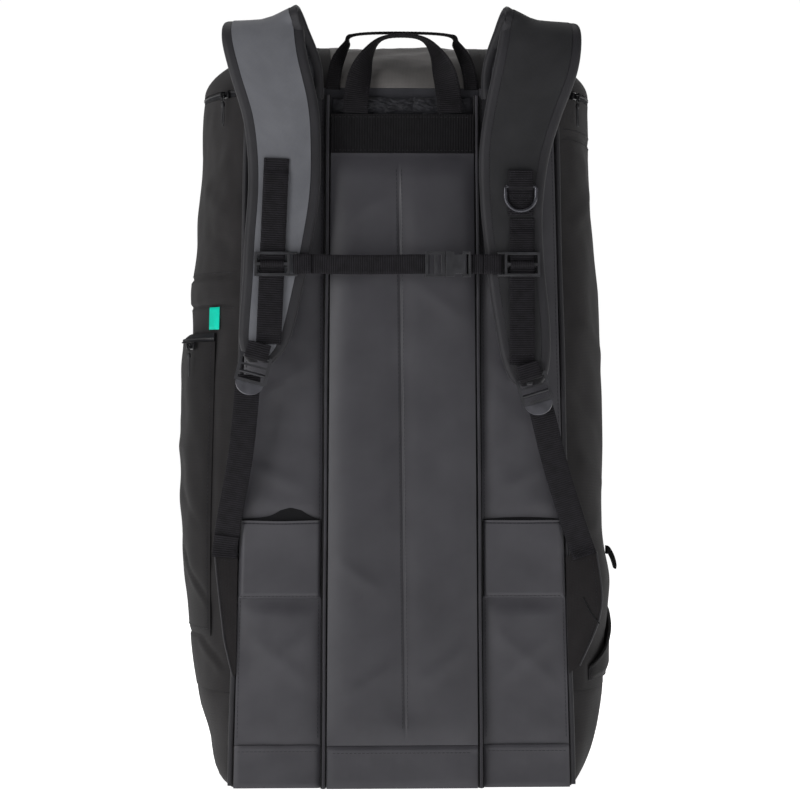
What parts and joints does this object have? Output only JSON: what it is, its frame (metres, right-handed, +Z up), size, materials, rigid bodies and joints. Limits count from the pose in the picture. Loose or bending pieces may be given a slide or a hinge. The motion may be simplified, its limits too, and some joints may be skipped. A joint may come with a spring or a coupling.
{
  "type": "racket backpack",
  "caption": "Tall three-compartment racket backpack with padded shoulder straps, sliding chest strap with buckle, carry handles, zipped sides and a flat padded back.",
  "frame": {"origin": "middle of the base's underside, on the ground the bag stands on", "axes": "+Z up, -Y towards the wearer's side with the shoulder straps, +X to the right seen from that side"},
  "size_m": [0.4557, 0.3605, 0.7761],
  "materials": {
    "back_fabric": "coated smooth weave, low sheen",
    "body_fabric": "close plain weave, matte",
    "crown_fabric": "plain weave, matte",
    "lining": "padded lining, matte",
    "board": "sheet",
    "zip_tape": "woven tape with a coil",
    "binding": "ribbed binding tape",
    "accent": "smooth teal tag",
    "strap_mesh": "spacer mesh and edge binding",
    "strap_face_grey": "fine weave",
    "strap_face_black": "fine weave",
    "webbing": "ribbed nylon webbing",
    "zip_metal": "black enamel",
    "zip_pull": "moulded cord pull",
    "plastic": "satin black moulding"
  },
  "bodies": {
    "shell": {"base_floor": "body_fabric", "base_wall": "body_fabric", "base_boards": "board", "centre_hem": "back_fabric", "back_wall_centre": "back_fabric", "back_pocket_panel": "back_fabric", "left_back_panel": "back_fabric", "right_back_panel": "back_fabric", "upright_pipings": "binding", "seam_cords": "binding", "dividers": "lining", "zip_frames": "zip_tape", "top_panel": "crown_fabric", "left_shoulder_panel": "body_fabric", "right_shoulder_panel": "body_fabric", "left_sleeve": "back_fabric", "right_sleeve": "back_fabric", "webbing_band": "webbing", "left_strap_pad": "strap_mesh", "right_strap_pad": "strap_mesh", "left_strap_face": "strap_face_grey", "right_strap_face": "strap_face_black", "left_rail_webbing": "webbing", "right_rail_webbing": "webbing", "d_ring_loop": "webbing", "left_lower_webbing": "webbing", "right_lower_webbing": "webbing", "strap_wings": "webbing"},
    "left_door": {"left_side_panel": "body_fabric", "left_side_zip": "zip_tape", "left_side_pocket": "body_fabric", "pocket_zip": "zip_tape", "accent_tag": "accent"},
    "right_door": {"right_side_panel": "body_fabric", "right_side_zip": "zip_tape", "right_side_pocket": "body_fabric", "right_pull_tab": "body_fabric"},
    "front_door": {"front_cover": "body_fabric", "front_cover_zip": "zip_tape"},
    "inner_loop": {"inner_handle": "webbing"},
    "outer_loop": {"outer_handle": "webbing"},
    "ring": {"d_ring": "plastic"},
    "left_lock": {"left_ladder_lock": "plastic"},
    "right_lock": {"right_ladder_lock": "plastic"},
    "left_runner": {"left_sternum_slider": "plastic", "left_sternum_webbing": "webbing"},
    "right_runner": {"right_sternum_slider": "plastic", "right_sternum_webbing": "webbing", "buckle_female": "plastic"},
    "buckle_plug": {"buckle_male": "plastic"},
    "upper_arm": {"buckle_upper_arm": "plastic"},
    "lower_arm": {"buckle_lower_arm": "plastic"},
    "left_zip_slider": {"left_zip_slider": "zip_metal"},
    "left_zip_pull": {"left_zip_pull": "zip_pull"},
    "right_zip_slider": {"right_zip_slider": "zip_metal"},
    "right_zip_pull": {"right_zip_pull": "zip_pull"},
    "pocket_zip_slider": {"pocket_zip_slider": "zip_metal"},
    "pocket_zip_pull": {"pocket_zip_pull": "zip_pull"},
    "front_zip_slider": {"front_zip_slider": "zip_metal"},
    "front_zip_pull": {"front_zip_pull": "zip_pull"}
  },
  "joints": [
    {"name": "left_door_hinge", "type": "hinge", "parent": "shell", "child": "left_door", "pos_m": [-0.172, -0.148, 0], "axis": [0.0257, 0, 0.9997], "range_deg": [0, 35]},
    {"name": "right_door_hinge", "type": "hinge", "parent": "shell", "child": "right_door", "pos_m": [0.172, -0.148, 0], "axis": [0.0257, 0, -0.9997], "range_deg": [0, 35]},
    {"name": "front_cover_hinge", "type": "hinge", "parent": "shell", "child": "front_door", "pos_m": [0, 0.14772, 0.0955], "axis": [-1, 0, 0], "range_deg": [0, 60]},
    {"name": "inner_handle_fold", "type": "hinge", "parent": "shell", "child": "inner_loop", "pos_m": [0, -0.1629, 0.6736], "axis": [1, 0, 0], "range_deg": [0, 90]},
    {"name": "outer_handle_fold", "type": "hinge", "parent": "shell", "child": "outer_loop", "pos_m": [0, -0.1516, 0.698], "axis": [1, 0, 0], "range_deg": [0, 90]},
    {"name": "ring_swing", "type": "hinge", "parent": "shell", "child": "ring", "pos_m": [0.1155, -0.1935, 0.599], "axis": [-1, 0, 0], "range_deg": [0, 115]},
    {"name": "left_lock_tilt", "type": "hinge", "parent": "shell", "child": "left_lock", "pos_m": [-0.14541, -0.196, 0.43062], "axis": [-0.9659, 0, 0.2588], "range_deg": [0, 30]},
    {"name": "right_lock_tilt", "type": "hinge", "parent": "shell", "child": "right_lock", "pos_m": [0.12522, -0.196, 0.41065], "axis": [-0.9563, 0, -0.2924], "range_deg": [0, 30]},
    {"name": "sternum_left_slide", "type": "slide", "parent": "shell", "child": "left_runner", "axis": [0, 0, 1], "range_m": [-0.035, 0.02]},
    {"name": "sternum_right_slide", "type": "slide", "parent": "shell", "child": "right_runner", "axis": [0, 0, 1], "range_m": [-0.035, 0.02]},
    {"name": "buckle_release", "type": "slide", "parent": "left_runner", "child": "buckle_plug", "axis": [-1, 0, 0], "range_m": [0, 0.024], "deforming": ["left_sternum_webbing"]},
    {"name": "upper_arm_press", "type": "hinge", "parent": "buckle_plug", "child": "upper_arm", "pos_m": [0.0414, -0.1959, 0.5292], "axis": [0, 1, 0], "range_deg": [0, 12.5]},
    {"name": "lower_arm_press", "type": "hinge", "parent": "buckle_plug", "child": "lower_arm", "pos_m": [0.0414, -0.1959, 0.5148], "axis": [0, -1, 0], "range_deg": [0, 12.5]},
    {"name": "left_zip_slide", "type": "slide", "parent": "left_door", "child": "left_zip_slider", "axis": [-0.4073, 0.9133, 0], "range_m": [0, 0.02]},
    {"name": "left_zip_pull_swing", "type": "hinge", "parent": "left_zip_slider", "child": "left_zip_pull", "pos_m": [-0.17926, -0.11909, 0.6954], "axis": [-0.4073, 0.9133, 0], "range_deg": [0, 90]},
    {"name": "right_zip_slide", "type": "slide", "parent": "right_door", "child": "right_zip_slider", "axis": [0.4073, 0.9133, 0], "range_m": [0, 0.02]},
    {"name": "right_zip_pull_swing", "type": "hinge", "parent": "right_zip_slider", "child": "right_zip_pull", "pos_m": [0.17926, -0.11909, 0.6954], "axis": [-0.4073, -0.9133, 0], "range_deg": [0, 90]},
    {"name": "pocket_zip_slide", "type": "slide", "parent": "left_door", "child": "pocket_zip_slider", "axis": [-0.3036, 0.9528, 0], "range_m": [0, 0.012]},
    {"name": "pocket_zip_pull_swing", "type": "hinge", "parent": "pocket_zip_slider", "child": "pocket_zip_pull", "pos_m": [-0.21417, -0.08672, 0.443], "axis": [-0.3036, 0.9528, 0], "range_deg": [0, 90]},
    {"name": "front_zip_slide", "type": "slide", "parent": "front_door", "child": "front_zip_slider", "axis": [0, 0, -1], "range_m": [0, 0.375]},
    {"name": "front_zip_pull_swing", "type": "hinge", "parent": "front_zip_slider", "child": "front_zip_pull", "pos_m": [0.0666, 0.1556, 0.54], "axis": [1, 0, 0], "range_deg": [0, 90]}
  ],
  "couplings": [
    {"joint": "sternum_right_slide", "follows": "sternum_left_slide", "ratio": 1},
    {"joint": "outer_handle_fold", "follows": "inner_handle_fold", "ratio": 1},
    {"joint": "upper_arm_press", "follows": "buckle_release", "rad_per_m": 8.7266},
    {"joint": "lower_arm_press", "follows": "buckle_release", "rad_per_m": 8.7266}
  ]
}
